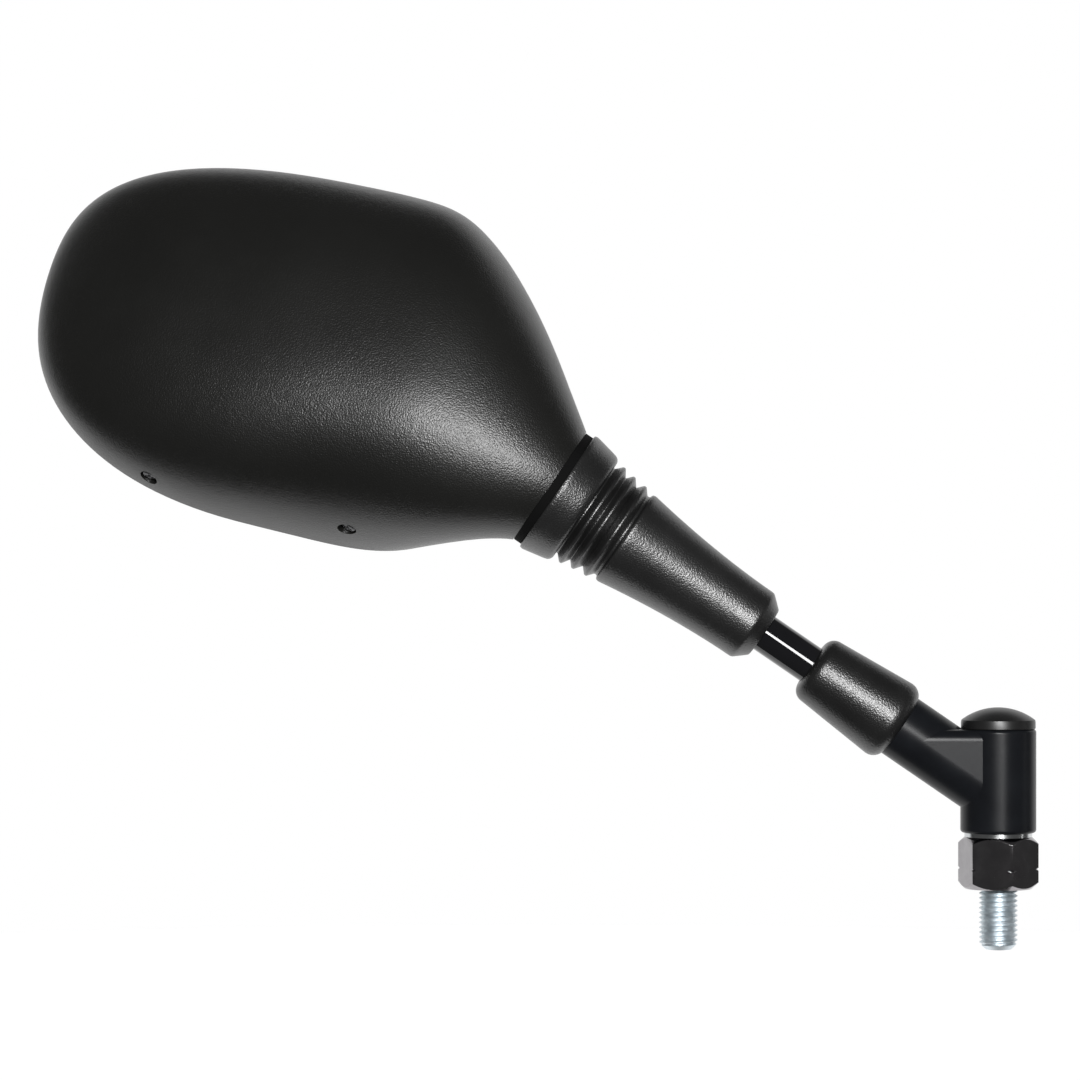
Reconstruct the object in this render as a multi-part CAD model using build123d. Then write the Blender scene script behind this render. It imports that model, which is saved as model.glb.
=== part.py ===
from build123d import *
import os
from math import asin, atan2, cos, pi, radians, sin, sqrt, tan

# Motorcycle mirror: a stud-mounted swivel base, a stem with a ball end, and a moulded head.
# Millimetres and degrees. The origin is on the stud axis at the underside of the lock nut.
# +Z is up, the back of the head faces -Y and the glass faces +Y.

# Stud, nuts and swivel stack
STUD_D = 10.0
THREAD_D = 9.86
RELIEF_D = 8.4
RELIEF_LENGTH = 1.5
STUD_LENGTH = 15.6
STUD_CHAMFER = 1.6
NUT_AF = 18.0
NUT_CHAMFER = 45.0
NUT_TURN = -5.8
LOCK_NUT_H = 5.1
SHOULDER_NUT_H = 8.2
SEAT_WASHER_D = 17.4
SEAT_WASHER_T = 1.0
THRUST_WASHER_T = 1.0
DISC_SPRING_T = 0.9
DISC_SPRING_CONE = 0.5
DISC_SPRINGS = 2
BOLT_HEAD_D = 16.0
BOLT_HEAD_H = 6.0
BOLT_KEY_AF = 8.0
BOLT_KEY_DEPTH = 3.5
SWIVEL_CLEARANCE = 0.05
HEAD_ROOM = 0.3

# Cast base arm
BOSS_D = 19.4
BOSS_H = 26.6
BOSS_EDGE = 0.9
ARM_D = 16.8
ARM_LENGTH = 37.0
ARM_AXIS_HEIGHT = 24.4
STEM_RISE = 34.4
WEB_EDGE = 2.8
ROD_SOCKET_DEPTH = 19.0

# Dome cap over the boss
CAP_D = 19.1
CAP_BAND = 2.3
CAP_DOME_H = 3.2
CAP_PLUG_LENGTH = 3.0
CAP_PLUG_WALL = 1.6

# Stem rod with its ball, lock nut and rubber boot
ROD_D = 10.0
BALL_D = 16.0
BALL_STATION = 132.0
ROD_NECK_D = 8.0
ROD_NECK_LENGTH = 11.5
STEM_NUT_AF = 16.0
STEM_NUT_H = 5.0
BOOT_FOOT = 30.4
BOOT_TOP = 58.2
BOOT_FOOT_D = 22.0
BOOT_TOP_D = 17.6
BOOT_FOOT_ROUND = 3.6
BOOT_TOP_ROUND = 3.2
BOOT_COLLAR_LENGTH = 8.0

# Rubber gaiter: sleeve on the rod, bellows, and collar on the housing neck
SLEEVE_FOOT = 72.9
SLEEVE_FOOT_D = 19.6
SLEEVE_LIP_D = 13.4
SLEEVE_CHAMFER_LENGTH = 3.6
SLEEVE_WAIST = 98.0
SLEEVE_WAIST_D = 21.6
SLEEVE_TOP = 116.3
SLEEVE_TOP_D = 26.3
SLEEVE_ROUND = 0.9
SLEEVE_GRIP_LENGTH = 20.0
RIBS = 3
RIB_PITCH = 3.6
RIB_CREST = 0.8
FIRST_VALLEY_W = 0.9
RIB_D = 28.5
RIB_TAPER = 0.3
VALLEY_DEPTH = 1.5
COLLAR_FOOT = 128.4
COLLAR_TOP = 138.1
COLLAR_FOOT_D = 32.0
COLLAR_TOP_D = 34.3
COLLAR_ROUND = 1.8
COLLAR_GROOVE = 0.6
BELLOWS_BORE_D = 21.8

# Ball seats and the socket that holds them
SEAT_T = 1.2
SEAT_CLEARANCE = 0.05
SEAT_MOUTH = 50.0
SEAT_EDGE = 4.0
CUP_CROWN = 28.0
CUP_EDGE = 12.0
SOCKET_D = 23.0
SOCKET_BORE_D = 19.6
SOCKET_LIP_T = 1.5
SOCKET_NOSE_LENGTH = 2.0
SOCKET_TOP = 151.0
SOCKET_EAR_T = 3.0
SOCKET_EAR_W = 9.0
SOCKET_SCREW_SPAN = 28.6
SOCKET_SCREW_D = 3.0
SOCKET_SCREW_HEAD_D = 5.5
SOCKET_SCREW_HEAD_H = 2.0
SOCKET_SCREW_LENGTH = 9.0
CUP_FLOOR = 2.6
CUP_SPRING_T = 0.7
CUP_SPRING_CONE = 0.6
PLUG_T = 4.0
PLUG_SLOT_W = 3.0
PLUG_SLOT_DEPTH = 1.6
FIT = 0.05

# Moulded housing
NECK_END = 139.4
NECK_D = 33.3
NECK_STEP = 0.5
NECK_STEP_LENGTH = 0.8
NECK_ROOT = 2.0
SPIGOT_D = 28.6
SPIGOT_LENGTH = 8.0
NECK_TO_RIM = 20.5
HEAD_SLOPE = 14.0
HEAD_TILT = 20.0
SHELL_LENGTH = 141.2
SHELL_HEIGHT = 98.1
SHELL_DEPTH = 42.3
SHELL_RISE = 25.4
TIP_RISE = 3.1
SHELL_WALL = 2.5
RISE_LENGTH = 57.4
FLARE_LENGTH = 56.8
UPPER_FLARE = 1.014
LOWER_FLARE = 1.206
UPPER_TAIL = 2.73
LOWER_TAIL = 2.50
BACK_LENGTH = 33.6
BACK_FLARE = 0.885
BACK_TAIL = 1.45
BAND_HEIGHT = 7.0
BAND_FULLNESS = 8.0
SETTLE_LENGTH = 48.4
LEAN_RUN = 30.0
SIDE_FULLNESS = 2.44

# Glass, its pad, its tray and the tray screws
MOUTH_REBATE = 0.3
TRAY_GAP = 0.4
TRAY_WALL = 1.8
TRAY_RECESS = 0.6
TRAY_FLOOR_W = 5.0
TRAY_FLOOR_T = 1.4
TRAY_BACK_ROOM = 0.4
TRAY_LIP = 1.6
GLASS_RADIUS = 1200.0
GLASS_T = 2.0
GLASS_CROWN_W = 1.0
PAD_INSET = 2.0
BOSS_W = 7.0
BOSS_LENGTH = 9.0
BOSS_SETBACK = 0.5
TRAY_SCREW_PLACES = ((37.3, 12.0), (96.0, 6.3))
TRAY_SCREW_D = 2.2
TRAY_SCREW_HEAD_D = 4.4
TRAY_SCREW_HEAD_H = 1.0
TRAY_SCREW_LENGTH = 9.0
TRAY_SCREW_SINK = 0.5
TRAY_SCREW_ROOM = 0.2

# Shape sampling for the lofted shell
SECTION_POINTS = 20
MOUTH_POINTS = 36
MOUTH_START = 3.0
FLARE_SECTIONS = (0.0, 0.1, 0.22, 0.36, 0.52, 0.7, 0.87)
TAIL_SECTIONS = (0.04, 0.2, 0.38, 0.55, 0.7, 0.82, 0.91, 0.965, 0.99, 0.999)

# Places worked out from the dimensions
SHOULDER_Z = LOCK_NUT_H
SEAT_Z = SHOULDER_Z + SHOULDER_NUT_H
BOSS_Z = SEAT_Z + SEAT_WASHER_T
BOSS_TOP_Z = BOSS_Z + BOSS_H
DISC_SPRING_H = DISC_SPRING_T + DISC_SPRING_CONE
BOLT_HEAD_TOP_Z = BOSS_TOP_Z - CAP_PLUG_LENGTH - HEAD_ROOM
BOLT_HEAD_Z = BOLT_HEAD_TOP_Z - BOLT_HEAD_H
SPRINGS_Z = BOLT_HEAD_Z - DISC_SPRINGS * DISC_SPRING_H
COUNTERBORE_Z = SPRINGS_Z - THRUST_WASHER_T
COUNTERBORE_D = BOLT_HEAD_D + 2 * HEAD_ROOM
BALL_R = BALL_D / 2
SEAT_IN_R = BALL_R + SEAT_CLEARANCE
SEAT_OUT_R = SEAT_IN_R + SEAT_T
CAVITY_R = SEAT_OUT_R + SEAT_CLEARANCE
NECK_R = NECK_D / 2
CUP_FOOT = BALL_STATION + CAVITY_R * sin(radians(CUP_EDGE))
CUP_TOP = BALL_STATION + CAVITY_R + CUP_FLOOR
PLUG_FOOT = CUP_TOP + CUP_SPRING_T + CUP_SPRING_CONE
EAR_STATION = SOCKET_TOP - SOCKET_EAR_T
TRAY_BACK_W = TRAY_FLOOR_W + TRAY_FLOOR_T
POCKET_INSET = TRAY_GAP + TRAY_WALL
GLASS_INSET = POCKET_INSET + FIT

# Stem frame: local Z runs up the stem axis, local X is the upward normal to it
STEM_DIR = Vector(-cos(radians(STEM_RISE)), 0, sin(radians(STEM_RISE)))
STEM_UP = Vector(sin(radians(STEM_RISE)), 0, cos(radians(STEM_RISE)))
stem = Plane(origin=(0, 0, ARM_AXIS_HEIGHT), x_dir=STEM_UP, z_dir=STEM_DIR)

# Head frame: local X along the oval towards the neck, local Y up it, local Z out of its back
slope = radians(HEAD_SLOPE)
tilt = radians(HEAD_TILT)
LONG_DIR = Vector(cos(slope), 0, -sin(slope))
RISE_DIR = Vector(sin(slope), 0, cos(slope))
BACK_DIR = Vector(0, -1, 0) * cos(tilt) + RISE_DIR * sin(tilt)
neck_point = stem.from_local_coords(Vector(0, 0, NECK_END))
head = Plane(origin=neck_point - BACK_DIR * NECK_TO_RIM, x_dir=LONG_DIR, z_dir=BACK_DIR)
UP_DIR = head.y_dir
neck_turn = atan2(STEM_DIR.dot(UP_DIR), -STEM_DIR.dot(LONG_DIR))
neck_lean = asin(STEM_DIR.dot(BACK_DIR))


def turned(*outline):
    """Revolve a closed outline of lines and curves, given as radius and height, about Z."""
    return revolve(Plane.XZ * make_face(outline), Axis.Z)


def turned_polygon(*points):
    """Revolve a polygon of radius and height pairs about Z."""
    return turned(Polyline(*points, close=True))


def common(first, second):
    """The one solid that two shapes share."""
    return (first & second).solids().sort_by(SortBy.VOLUME)[-1]


def ring(outer_d, inner_d, height, z):
    """A plain flat ring that stands on z."""
    body = Cylinder(outer_d / 2, height) - Cylinder(inner_d / 2, height)
    return Pos(0, 0, z + height / 2) * body


def cone_spring(outer_d, inner_d, thickness, rise, z):
    """A conical spring washer whose inner edge stands higher than its outer edge."""
    outer = outer_d / 2
    inner = inner_d / 2
    return turned_polygon(
        (inner, z + rise), (outer, z), (outer, z + thickness), (inner, z + rise + thickness)
    )


def hex_nut(across_flats, height, bore_d, z):
    """A hexagon nut whose corners are chamfered on both faces."""
    corner = across_flats / sqrt(3)
    flat = across_flats / 2
    drop = (corner - flat) * sin(radians(NUT_CHAMFER)) / cos(radians(NUT_CHAMFER))
    prism = extrude(RegularPolygon(corner, 6), height)
    barrel = turned_polygon(
        (0, 0), (flat, 0), (corner, drop), (corner, height - drop), (flat, height), (0, height)
    )
    return Pos(0, 0, z) * (common(prism, barrel) - Cylinder(bore_d / 2, 3 * height))


def hex_turn(nut):
    """Turn a nut to the angle that the photograph shows its corners at."""
    return Rot(0, 0, NUT_TURN) * nut


# Swivel mount
def make_pivot_bolt():
    thread_r = THREAD_D / 2
    shank_r = STUD_D / 2
    relief_r = RELIEF_D / 2
    bolt = turned_polygon(
        (0, -STUD_LENGTH),
        (thread_r - STUD_CHAMFER, -STUD_LENGTH),
        (thread_r, -STUD_LENGTH + STUD_CHAMFER),
        (thread_r, 0),
        (relief_r, 0),
        (relief_r, RELIEF_LENGTH),
        (shank_r, RELIEF_LENGTH),
        (shank_r, BOLT_HEAD_Z),
        (BOLT_HEAD_D / 2, BOLT_HEAD_Z),
        (BOLT_HEAD_D / 2, BOLT_HEAD_TOP_Z),
        (0, BOLT_HEAD_TOP_Z),
    )
    key = extrude(RegularPolygon(BOLT_KEY_AF / sqrt(3), 6), -BOLT_KEY_DEPTH)
    return bolt - Pos(0, 0, BOLT_HEAD_TOP_Z) * key


def make_disc_springs():
    bore_d = STUD_D + 2 * HEAD_ROOM
    springs = []
    for i in range(DISC_SPRINGS):
        z = SPRINGS_Z + i * DISC_SPRING_H
        springs.append(cone_spring(BOLT_HEAD_D, bore_d, DISC_SPRING_T, DISC_SPRING_CONE, z))
    return springs


# Cast arm with its boss and web
def make_base_arm():
    boss = Pos(0, 0, BOSS_Z + BOSS_H / 2) * Cylinder(BOSS_D / 2, BOSS_H)
    boss = fillet(boss.edges().filter_by(GeomType.CIRCLE), BOSS_EDGE)
    arm = stem * Pos(0, 0, ARM_LENGTH / 2) * Cylinder(ARM_D / 2, ARM_LENGTH)
    web_rise = BOSS_TOP_Z - ARM_AXIS_HEIGHT
    web_run = web_rise * cos(radians(STEM_RISE)) / sin(radians(STEM_RISE))
    web_outline = Polyline(
        (0, ARM_AXIS_HEIGHT), (0, BOSS_TOP_Z), (-web_run, BOSS_TOP_Z), close=True
    )
    web = extrude(Plane.XZ * make_face(web_outline), ARM_D / 2, both=True)
    top_edges = web.edges().filter_by(Axis.X).group_by(Axis.Z)[-1]
    web = fillet(top_edges, WEB_EDGE)
    casting = boss + arm + web
    bore = Cylinder(STUD_D / 2 + SWIVEL_CLEARANCE, 4 * BOSS_H)
    counterbore_h = BOSS_TOP_Z - COUNTERBORE_Z
    counterbore = Cylinder(COUNTERBORE_D / 2, 2 * counterbore_h)
    rod_hole_h = ROD_SOCKET_DEPTH + FIT
    rod_hole = Pos(0, 0, ARM_LENGTH - rod_hole_h + ARM_D) * Cylinder(ROD_D / 2 + FIT, 2 * ARM_D)
    casting = casting - bore - Pos(0, 0, COUNTERBORE_Z + counterbore_h) * counterbore
    cap_room = Pos(0, 0, BOSS_TOP_Z + CAP_BAND / 2) * Cylinder(CAP_D / 2 + FIT, CAP_BAND)
    return casting - stem * rod_hole - cap_room


def make_dome_cap():
    cap_r = CAP_D / 2
    plug_r = COUNTERBORE_D / 2 - FIT
    plug_in_r = plug_r - CAP_PLUG_WALL
    z0 = BOSS_TOP_Z
    band_z = z0 + CAP_BAND
    top_z = band_z + CAP_DOME_H
    dome_mid = (cap_r * sin(pi / 4), band_z + CAP_DOME_H * sin(pi / 4))
    return turned(
        Line((0, z0), (plug_in_r, z0)),
        Line((plug_in_r, z0), (plug_in_r, z0 - CAP_PLUG_LENGTH)),
        Line((plug_in_r, z0 - CAP_PLUG_LENGTH), (plug_r, z0 - CAP_PLUG_LENGTH)),
        Line((plug_r, z0 - CAP_PLUG_LENGTH), (plug_r, z0)),
        Line((plug_r, z0), (cap_r, z0)),
        Line((cap_r, z0), (cap_r, band_z)),
        Spline((cap_r, band_z), dome_mid, (0, top_z), tangents=((0, 1), (-1, 0))),
        Line((0, top_z), (0, z0)),
    )


# Stem rod and what sits on it
def make_stem_rod():
    rod_r = ROD_D / 2
    neck_r = ROD_NECK_D / 2
    foot = ARM_LENGTH - ROD_SOCKET_DEPTH
    neck_foot = BALL_STATION - ROD_NECK_LENGTH
    shank = turned_polygon(
        (0, foot),
        (rod_r, foot),
        (rod_r, neck_foot - (rod_r - neck_r)),
        (neck_r, neck_foot),
        (neck_r, BALL_STATION),
        (0, BALL_STATION),
    )
    return stem * (shank + Pos(0, 0, BALL_STATION) * Sphere(BALL_R))


def make_stem_boot():
    arm_r = ARM_D / 2 + FIT
    nut_r = STEM_NUT_AF / sqrt(3) + FIT
    rod_r = ROD_D / 2 + FIT
    nut_top = ARM_LENGTH + STEM_NUT_H + FIT
    outer = turned_polygon(
        (0, BOOT_FOOT), (BOOT_FOOT_D / 2, BOOT_FOOT), (BOOT_TOP_D / 2, BOOT_TOP), (0, BOOT_TOP)
    )
    circles = outer.edges().filter_by(GeomType.CIRCLE).sort_by(Axis.Z)
    outer = fillet(circles[0], BOOT_FOOT_ROUND)
    circles = outer.edges().filter_by(GeomType.CIRCLE).sort_by(Axis.Z)
    outer = fillet(circles[-1], BOOT_TOP_ROUND)
    inner = turned_polygon(
        (0, BOOT_FOOT),
        (arm_r, BOOT_FOOT),
        (arm_r, ARM_LENGTH),
        (nut_r, ARM_LENGTH),
        (nut_r, nut_top),
        (rod_r, BOOT_TOP - BOOT_COLLAR_LENGTH),
        (rod_r, BOOT_TOP),
        (0, BOOT_TOP),
    )
    return stem * (outer - inner)


def make_gaiter():
    """One rubber moulding, drawn as its half section from the rod up to the housing neck."""
    rod_r = ROD_D / 2 + FIT
    foot_r = SLEEVE_FOOT_D / 2
    top_r = SLEEVE_TOP_D / 2
    chamfer_top = SLEEVE_FOOT + SLEEVE_CHAMFER_LENGTH
    round_foot = SLEEVE_TOP - SLEEVE_ROUND
    collar_r = COLLAR_FOOT_D / 2
    groove_r = COLLAR_TOP_D / 2 - COLLAR_GROOVE
    bellows_r = BELLOWS_BORE_D / 2
    spigot_r = SPIGOT_D / 2 + FIT
    spigot_foot = NECK_END - NECK_STEP_LENGTH - SPIGOT_LENGTH
    lines = [
        Line((rod_r, SLEEVE_FOOT), (SLEEVE_LIP_D / 2, SLEEVE_FOOT)),
        Line((SLEEVE_LIP_D / 2, SLEEVE_FOOT), (foot_r, chamfer_top)),
        Spline(
            (foot_r, chamfer_top), (SLEEVE_WAIST_D / 2, SLEEVE_WAIST), (top_r, round_foot),
            tangents=((0, 1), (top_r - SLEEVE_WAIST_D / 2, round_foot - SLEEVE_WAIST)),
        ),
        RadiusArc((top_r, round_foot), (top_r - SLEEVE_ROUND, SLEEVE_TOP), -SLEEVE_ROUND),
    ]
    # Each rib is a fin with a narrow crest between two valleys, wider towards the collar
    valley_r = RIB_D / 2 - (RIBS - 1) * RIB_TAPER - VALLEY_DEPTH
    station = SLEEVE_TOP + FIRST_VALLEY_W
    lines.append(Line((top_r - SLEEVE_ROUND, SLEEVE_TOP), (valley_r, station)))
    for i in range(RIBS):
        crest_r = RIB_D / 2 - (RIBS - 1 - i) * RIB_TAPER
        next_r = crest_r - VALLEY_DEPTH
        crest_foot = (crest_r, station + (RIB_PITCH - RIB_CREST) / 2)
        crest_top = (crest_r, station + (RIB_PITCH + RIB_CREST) / 2)
        lines.append(Line((valley_r, station), crest_foot))
        lines.append(Line(crest_foot, crest_top))
        lines.append(Line(crest_top, (next_r, station + RIB_PITCH)))
        valley_r = next_r
        station += RIB_PITCH
    lines += [
        Line((valley_r, station), (valley_r, COLLAR_FOOT)),
        Line((valley_r, COLLAR_FOOT), (collar_r - COLLAR_ROUND, COLLAR_FOOT)),
        RadiusArc(
            (collar_r - COLLAR_ROUND, COLLAR_FOOT), (collar_r, COLLAR_FOOT + COLLAR_ROUND),
            -COLLAR_ROUND,
        ),
        Line((collar_r, COLLAR_FOOT + COLLAR_ROUND), (COLLAR_TOP_D / 2, COLLAR_TOP - COLLAR_GROOVE)),
        Line((COLLAR_TOP_D / 2, COLLAR_TOP - COLLAR_GROOVE), (groove_r, COLLAR_TOP)),
        Line((groove_r, COLLAR_TOP), (spigot_r, COLLAR_TOP)),
        Line((spigot_r, COLLAR_TOP), (spigot_r, spigot_foot - FIT)),
        Line((spigot_r, spigot_foot - FIT), (bellows_r, spigot_foot - FIT)),
        Line((bellows_r, spigot_foot - FIT), (bellows_r, SLEEVE_TOP)),
        Line((bellows_r, SLEEVE_TOP), (rod_r, SLEEVE_FOOT + SLEEVE_GRIP_LENGTH)),
        Line((rod_r, SLEEVE_FOOT + SLEEVE_GRIP_LENGTH), (rod_r, SLEEVE_FOOT)),
    ]
    return stem * turned(*lines)


# Ball seats and socket, all turned about the stem axis round the ball centre
def seat_zone(low_angle, high_angle):
    """The part of the seat shell between two angles from the rod side of the ball."""
    def at(radius, angle):
        return (radius * sin(radians(angle)), BALL_STATION - radius * cos(radians(angle)))

    middle = (low_angle + high_angle) / 2
    zone = turned(
        ThreePointArc(at(SEAT_IN_R, low_angle), at(SEAT_IN_R, middle), at(SEAT_IN_R, high_angle)),
        Line(at(SEAT_IN_R, high_angle), at(SEAT_OUT_R, high_angle)),
        ThreePointArc(at(SEAT_OUT_R, high_angle), at(SEAT_OUT_R, middle), at(SEAT_OUT_R, low_angle)),
        Line(at(SEAT_OUT_R, low_angle), at(SEAT_IN_R, low_angle)),
    )
    return stem * zone


def make_lower_seat():
    return seat_zone(SEAT_MOUTH, 90 - SEAT_EDGE)


def make_upper_seat():
    return seat_zone(90 + SEAT_EDGE, 180 - CUP_CROWN)


def make_socket_body():
    out_r = SOCKET_D / 2
    bore_r = SOCKET_BORE_D / 2
    mouth = radians(SEAT_MOUTH)
    mouth_r = CAVITY_R * sin(mouth)
    mouth_a = BALL_STATION - CAVITY_R * cos(mouth)
    lip_r = mouth_r + SOCKET_LIP_T
    nose_r = BELLOWS_BORE_D / 2 - HEAD_ROOM
    nose_a = BALL_STATION - SOCKET_NOSE_LENGTH
    shoulder_a = NECK_END - NECK_STEP_LENGTH - SPIGOT_LENGTH + FIT
    barrel = turned(
        ThreePointArc(
            (mouth_r, mouth_a),
            (CAVITY_R * sin((mouth + pi / 2) / 2), BALL_STATION - CAVITY_R * cos((mouth + pi / 2) / 2)),
            (CAVITY_R, BALL_STATION),
        ),
        Line((CAVITY_R, BALL_STATION), (bore_r, BALL_STATION)),
        Line((bore_r, BALL_STATION), (bore_r, SOCKET_TOP)),
        Line((bore_r, SOCKET_TOP), (out_r, SOCKET_TOP)),
        Line((out_r, SOCKET_TOP), (out_r, shoulder_a)),
        Line((out_r, shoulder_a), (nose_r, shoulder_a)),
        Line((nose_r, shoulder_a), (nose_r, nose_a)),
        Line((nose_r, nose_a), (lip_r, mouth_a)),
        Line((lip_r, mouth_a), (mouth_r, mouth_a)),
    )
    ears = extrude(SlotCenterToCenter(SOCKET_SCREW_SPAN, SOCKET_EAR_W), SOCKET_EAR_T)
    ears = ears - Cylinder(bore_r + FIT, 4 * SOCKET_EAR_T)
    for side in (-1, 1):
        ears = ears - Pos(side * SOCKET_SCREW_SPAN / 2, 0, 0) * Cylinder(
            SOCKET_SCREW_D / 2 + FIT, 4 * SOCKET_EAR_T
        )
    return stem * (barrel + Pos(0, 0, EAR_STATION) * ears)


def make_pressure_cup():
    cup_r = SOCKET_BORE_D / 2 - FIT
    solid = turned_polygon((0, CUP_FOOT), (cup_r, CUP_FOOT), (cup_r, CUP_TOP), (0, CUP_TOP))
    return stem * (solid - Pos(0, 0, BALL_STATION) * Sphere(CAVITY_R))


def make_cup_spring():
    cup_r = SOCKET_BORE_D / 2 - HEAD_ROOM
    return stem * cone_spring(2 * cup_r, cup_r, CUP_SPRING_T, CUP_SPRING_CONE, CUP_TOP)


def make_retaining_plug():
    plug = ring(SOCKET_BORE_D - 2 * FIT, BOLT_KEY_AF, PLUG_T, PLUG_FOOT)
    slot = Box(2 * SOCKET_D, PLUG_SLOT_W, 2 * PLUG_SLOT_DEPTH)
    return stem * (plug - Pos(0, 0, PLUG_FOOT + PLUG_T) * slot)


def make_socket_screws():
    screws = []
    for side in (-1, 1):
        shank = ring(SOCKET_SCREW_D, 0, SOCKET_SCREW_LENGTH, SOCKET_TOP - SOCKET_SCREW_LENGTH)
        top = ring(SOCKET_SCREW_HEAD_D, 0, SOCKET_SCREW_HEAD_H, SOCKET_TOP)
        screws.append(stem * Pos(side * SOCKET_SCREW_SPAN / 2, 0, 0) * (shank + top))
    return screws


# Housing shell: superelliptic sections set square to a bent spine, from the neck to the far tip
def smooth(x):
    x = min(max(x, 0.0), 1.0)
    return x * x * (3 - 2 * x)


def spine_at(d):
    """Foot of the section at run d, in the head's rim plane, and the way it faces."""
    x = min(d / RISE_LENGTH, 1.0)
    start_slope = tan(neck_turn) * RISE_LENGTH / SHELL_RISE
    rise = SHELL_RISE * (start_slope * x * (1 - x) ** 2 + smooth(x))
    past = max(0.0, (d - RISE_LENGTH) / (SHELL_LENGTH - RISE_LENGTH))
    rise = rise + TIP_RISE * past ** 2
    turn = neck_turn * (1 - d / SHELL_LENGTH)
    return Vector(-d, rise, 0), Vector(-cos(turn), sin(turn), 0)


def form_at(d, inset):
    """Half heights above and below, half depth, centre height and fullness at run d."""
    flare = sin(pi / 2 * min(d / FLARE_LENGTH, 1))
    growth = SHELL_HEIGHT / 2 - NECK_R
    upper = NECK_R + growth * flare ** UPPER_FLARE - inset
    lower = NECK_R + growth * flare ** LOWER_FLARE - inset
    neck_back = NECK_TO_RIM + NECK_R
    settled = smooth(d / SETTLE_LENGTH)
    centre = NECK_TO_RIM * (1 - settled)
    fullness = 2 + (SIDE_FULLNESS - 2) * settled
    back_flare = sin(pi / 2 * min(d / BACK_LENGTH, 1))
    depth = neck_back + (SHELL_DEPTH - neck_back) * back_flare ** BACK_FLARE - centre - inset
    tail = max(0.0, (d - FLARE_LENGTH) / (SHELL_LENGTH - inset - FLARE_LENGTH))
    back_tail = max(0.0, (d - BACK_LENGTH) / (SHELL_LENGTH - inset - BACK_LENGTH))
    upper = upper * (1 - tail ** UPPER_TAIL) ** (1 / UPPER_TAIL)
    lower = lower * (1 - tail ** LOWER_TAIL) ** (1 / LOWER_TAIL)
    band = BAND_HEIGHT * (1 - back_tail ** BAND_FULLNESS) ** (1 / BAND_FULLNESS)
    depth = band + (depth - BAND_HEIGHT) * (1 - back_tail ** BACK_TAIL) ** (1 / BACK_TAIL)
    return upper, lower, depth, centre, fullness


def section_at(d, inset):
    point, run = spine_at(d)
    upper, lower, depth, centre, fullness = form_at(d, inset)
    lean = neck_lean * max(0.0, 1 - d / LEAN_RUN)
    across = Vector(run.Y, -run.X, 0)
    outward = Vector(0, 0, 1) * cos(lean) - run * sin(lean)
    power = 2 / fullness
    points = []
    for i in range(SECTION_POINTS):
        angle = 2 * pi * i / SECTION_POINTS - pi / 2
        side = upper if cos(angle) > 0 else -lower
        x = side * abs(cos(angle)) ** power
        y = depth * abs(sin(angle)) ** power * (1 if sin(angle) > 0 else -1)
        local = point + Vector(0, 0, centre) + across * x + outward * y
        points.append(head.from_local_coords(local))
    return Face(Wire([Spline(*points, periodic=True)]))


def shell_form(inset, start):
    """The whole pear form, drawn in by inset, from a run past the neck end to the tip.

    Its seam lies below the rim plane, in the half that is cut away. It ends on a very small flat.
    """
    sections = []
    for share in FLARE_SECTIONS:
        sections.append(section_at(start + share * (FLARE_LENGTH - start), inset))
    tail_length = SHELL_LENGTH - inset - FLARE_LENGTH
    for share in TAIL_SECTIONS:
        sections.append(section_at(FLARE_LENGTH + share * tail_length, inset))
    return loft(sections)


def slab(low, high):
    """A block across the whole head between two heights above the rim plane."""
    span = 4 * SHELL_LENGTH
    block = Box(span, span, high - low)
    return head * Pos(0, 0, (low + high) / 2) * block


def screw_axis(d, w):
    """Frame on the lower wall at run d and height w, with Z pointing out of the wall."""
    point, run = spine_at(d)
    upper, lower, depth, centre, fullness = form_at(d, 0)
    across = Vector(run.Y, -run.X, 0)
    reach = lower * (1 - abs((w - centre) / depth) ** fullness) ** (1 / fullness)
    origin = head.from_local_coords(point + Vector(0, 0, w) - across * reach)
    out = head.from_local_coords(-across) - head.origin
    return Plane(origin=origin, x_dir=BACK_DIR, z_dir=out)


# The cavity of the shell and the outline of its mouth, which the glass tray fits
cavity = shell_form(SHELL_WALL, EAR_STATION - NECK_END)
mouth_form = section(shell_form(SHELL_WALL, MOUTH_START), section_by=head.offset(TRAY_RECESS))
mouth_edge = mouth_form.faces()[0].outer_wire()
mouth_centre = mouth_form.faces()[0].center()


def mouth_block(inset, low, high):
    """A block of the mouth's outline, drawn in by inset, between two heights above the rim."""
    points = []
    for i in range(MOUTH_POINTS):
        share = i / MOUTH_POINTS
        point = mouth_edge.position_at(share)
        inward = mouth_edge.tangent_at(share).cross(BACK_DIR)
        if inward.dot(mouth_centre - point) < 0:
            inward = -inward
        points.append(point + inward * inset + BACK_DIR * (low - TRAY_RECESS))
    outline = Face(Wire([Spline(*points, periodic=True)]))
    return extrude(outline, high - low, dir=BACK_DIR)


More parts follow.
